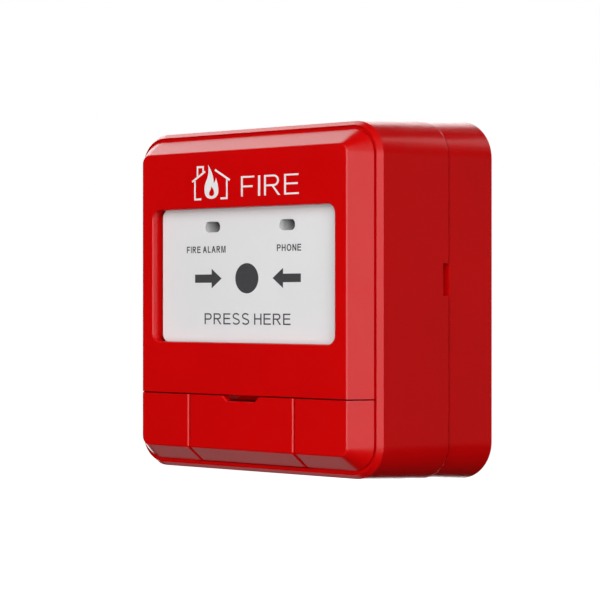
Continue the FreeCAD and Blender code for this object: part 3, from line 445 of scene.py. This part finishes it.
def word(text, left, right, base, top, stem):
    """Loops of a word that fills the given box; stem is the width of its upright strokes."""
    height = top - base
    advances = []
    across = 0.0
    for letter in text:
        if letter == " ":
            across += WORD_GAP - CAP_GAP
            continue
        width = LETTERS[letter][0] or stem / height
        advances.append((letter, across, width))
        across += width + CAP_GAP
    stretch = (right - left) / (across - CAP_GAP)
    loops = []
    for letter, start, width in advances:
        s = stem / height if LETTERS[letter][0] is None else stem / stretch
        for loop in LETTERS[letter][1](width, s):
            loops.append([(left + (start + x) * stretch, base + z * height) for x, z in loop])
    return loops


# Printing on the cover and the panel

def swept(start, bends, x, z, steps=9):
    """A closed loop of curved runs, moved by x and z; each run is a point to bend towards and an end."""
    loop = []
    for bend, end in bends:
        for i in range(steps):
            t = i / steps
            u, v, w = (1 - t) ** 2, 2 * t * (1 - t), t * t
            across = u * start[0] + v * bend[0] + w * end[0]
            up = u * start[1] + v * bend[1] + w * end[1]
            loop.append((x + across, z + up))
        start = end
    return loop


def flame(x, foot):
    """A flame with a tall tongue, a short one on its right and a drop cut out of its belly."""
    outside = (
        ((2.6, 0.1), (2.45, 2.4)), ((2.3, 3.8), (1.6, 5.5)),
        ((1.55, 4.6), (0.8, 4.2)), ((0.85, 6.4), (-1.1, 8.9)),
        ((-0.7, 6.8), (-1.75, 4.8)), ((-2.55, 3.5), (-2.4, 2.2)),
        ((-2.3, 0.1), (0.0, 0.0)),
    )
    drop = (
        ((1.05, 0.75), (0.95, 1.65)), ((0.8, 2.5), (0.05, 3.3)),
        ((-0.1, 2.6), (-0.6, 2.0)), ((-1.2, 0.9), (0.0, 0.7)),
    )
    return [swept((0.0, 0.0), outside, x, foot), swept((0.0, 0.7), drop, x, foot)]


def house_and_flame():
    """A plain pictogram: a gabled house with a chimney, open in the middle for a flame."""
    line = 0.52
    into_roof = line * 0.55
    left_gap, right_gap, flame_shift = 2.0, 1.5, 0.2
    middle = (HOUSE_LEFT + HOUSE_RIGHT) / 2
    slope = (HOUSE_RIDGE - HOUSE_EAVES) / (middle - HOUSE_LEFT)
    wall_inset, floor_reach = 1.0, 2.2
    chimney_left, chimney_right, chimney_top = HOUSE_LEFT + 1.9, HOUSE_LEFT + 3.9, HOUSE_RIDGE + 0.1

    def roof(x):
        return HOUSE_EAVES + slope * (x - HOUSE_LEFT if x < middle else HOUSE_RIGHT - x)

    def side(eaves, toward_middle, slope_end):
        wall = eaves + toward_middle * wall_inset
        floor_end = wall + toward_middle * floor_reach
        return [
            [(eaves, HOUSE_EAVES), (slope_end, roof(slope_end))],
            [(wall, roof(wall) - into_roof), (wall, HOUSE_FOOT), (floor_end, HOUSE_FOOT)],
        ]

    chimney = [
        (chimney_left, roof(chimney_left) + into_roof),
        (chimney_left, chimney_top),
        (chimney_right, chimney_top),
        (chimney_right, roof(chimney_right) + into_roof),
    ]
    lines = side(HOUSE_LEFT, 1, middle - left_gap) + side(HOUSE_RIGHT, -1, middle + right_gap)
    outlines = [band(points, line) for points in lines + [chimney]]
    return outlines + flame(middle + flame_shift, HOUSE_FOOT)


def block_arrow(direction):
    """An arrow on one side of the dot, pointing at it."""
    upper = [
        (ARROW_TIP, 0.0),
        (ARROW_NECK, ARROW_HEAD_HALF),
        (ARROW_NECK, ARROW_SHAFT_HALF),
        (ARROW_TAIL, ARROW_SHAFT_HALF),
    ]
    loop = upper + [(x, -z) for x, z in upper[:0:-1]]
    return [[(direction * x, AIM_Z + z) for x, z in loop]]


def print_cover():
    on_cover = ("front_cover", "white_ink", "head", "white_plastic")
    ink("cover_word", word("FIRE", *FIRE_WORD, COVER_STROKE), *on_cover)
    ink("cover_pictogram", house_and_flame(), *on_cover)


def print_panel():
    on_panel = ("press_panel", "grey_ink", "panel", "black_plastic")
    ink("press_here_word", word("PRESS HERE", *PRESS_HERE_WORD, PRESS_STROKE), *on_panel)
    ink("fire_alarm_word", word("FIRE ALARM", *FIRE_ALARM_WORD, SMALL_STROKE), *on_panel)
    ink("phone_word", word("PHONE", *PHONE_WORD, SMALL_STROKE), *on_panel)
    ink("aiming_dot", [arc(0, AIM_Z, DOT_RADIUS, DOT_RADIUS, 0, 356, 89)], *on_panel)
    ink("left_arrow", block_arrow(-1), *on_panel)
    ink("right_arrow", block_arrow(1), *on_panel)


# Studio

# Name, azimuth and elevation in degrees, distance, width and height in metres, radiance, use
LIGHTS = (
    ("main", 34.5, 13, 1.5, 2.0, 2.0, 3.05, "fill"),
    ("rear", 215, 25, 1.5, 1.4, 1.2, 2.4, "fill"),
    ("left", 285, 10, 1.4, 1.0, 1.0, 0.5, "fill"),
    ("key", 24, 4, 1.3, 0.85, 0.85, 2.6, "gloss"),
    ("right", 57, 0, 1.25, 0.46, 0.62, 0.85, "gloss"),
    ("far_right", 78, 0, 1.2, 0.42, 0.62, 1.8, "gloss"),
    ("overhead", 249, 50, 1.2, 0.95, 0.80, 2.0, "gloss"),
    ("high_back", 156, 27, 1.3, 0.50, 0.45, 1.1, "gloss"),
    ("far_side", 141, 0, 1.3, 0.8, 0.5, 0.10, "gloss"),
    ("backdrop", 219, 8, 1.4, 2.0, 1.8, 2.1, "gloss"),
    ("below", 249, -52, 1.2, 0.9, 0.6, 0.42, "gloss"),
)


def softbox(name, azimuth, elevation, distance, width, height, radiance, use):
    """A soft light aimed at the object, from azimuth degrees to the right of its front.

    use is "fill" for a light that only brightens, and "gloss" for one that is only seen reflected.
    """
    lamp = bpy.data.lights.new(name, "AREA")
    lamp.shape = "RECTANGLE"
    lamp.size, lamp.size_y = width, height
    lamp.energy = radiance * math.pi * width * height
    light = bpy.data.objects.new(name, lamp)
    turn, rise = math.radians(azimuth), math.radians(elevation)
    way = Vector((math.sin(turn) * math.cos(rise), -math.cos(turn) * math.cos(rise), math.sin(rise)))
    light.location = way * distance
    light.rotation_mode = "QUATERNION"
    light.rotation_quaternion = (-way).to_track_quat("-Z", "Y")
    light.visible_camera = False
    light.visible_glossy = use != "fill"
    light.visible_diffuse = use != "gloss"
    bpy.context.scene.collection.objects.link(light)


def surround():
    """White to the eye, and a dim even glow on the object."""
    world = bpy.data.worlds.new("surround")
    bpy.context.scene.world = world
    world.use_nodes = True
    tree = world.node_tree
    seen = tree.nodes["Background"]
    seen.inputs["Color"].default_value = (1, 1, 1, 1)
    glow = tree.nodes.new("ShaderNodeBackground")
    glow.inputs["Color"].default_value = (1, 1, 1, 1)
    glow.inputs["Strength"].default_value = GLOW
    path = tree.nodes.new("ShaderNodeLightPath")
    mix = tree.nodes.new("ShaderNodeMixShader")
    tree.links.new(path.outputs["Is Camera Ray"], mix.inputs["Fac"])
    tree.links.new(glow.outputs[0], mix.inputs[1])
    tree.links.new(seen.outputs[0], mix.inputs[2])
    tree.links.new(mix.outputs[0], tree.nodes["World Output"].inputs["Surface"])


def studio():
    bpy.context.scene.view_settings.view_transform = "Standard"
    surround()
    for light in LIGHTS:
        softbox(*light)


def floor():
    """Pale floor well below the object. It is bright to the eye and adds no light of its own."""
    bottom = cad_low.z - FLOOR_DROP
    half = FLOOR_HALF
    mesh = bpy.data.meshes.new("floor")
    corners = [
        (-half, -half, bottom),
        (half, -half, bottom),
        (half, half, bottom),
        (-half, half, bottom),
    ]
    mesh.from_pydata(corners, [], [(0, 1, 2, 3)])
    shader = Shader("pale_floor")
    shader.colour(shader.noise(3.0), (0.85, 0.85, 0.85), 0.01)
    shader.roughness(shader.noise(5.0), 0.75, 0.85)
    shader.surface.inputs["Emission Color"].default_value = (1, 1, 1, 1)
    shader.surface.inputs["Emission Strength"].default_value = 1.0
    mesh.materials.append(shader.material)
    ground = bpy.data.objects.new("floor", mesh)
    bpy.context.scene.collection.objects.link(ground)
    ground.visible_glossy = False
    ground.visible_diffuse = False
    ground.visible_shadow = False


def camera():
    data = bpy.data.cameras.new("camera")
    data.lens = CAMERA_LENS
    data.sensor_width = 36.0
    data.clip_start, data.clip_end = 0.01, 50.0
    eye = bpy.data.objects.new("camera", data)
    eye.location = CAMERA_PLACE
    eye.rotation_euler = (math.radians(90.0), 0.0, CAMERA_TURN)
    bpy.context.scene.collection.objects.link(eye)
    bpy.context.scene.camera = eye


camera()
studio()
floor()
dress_cad_nodes()
print_cover()
print_panel()
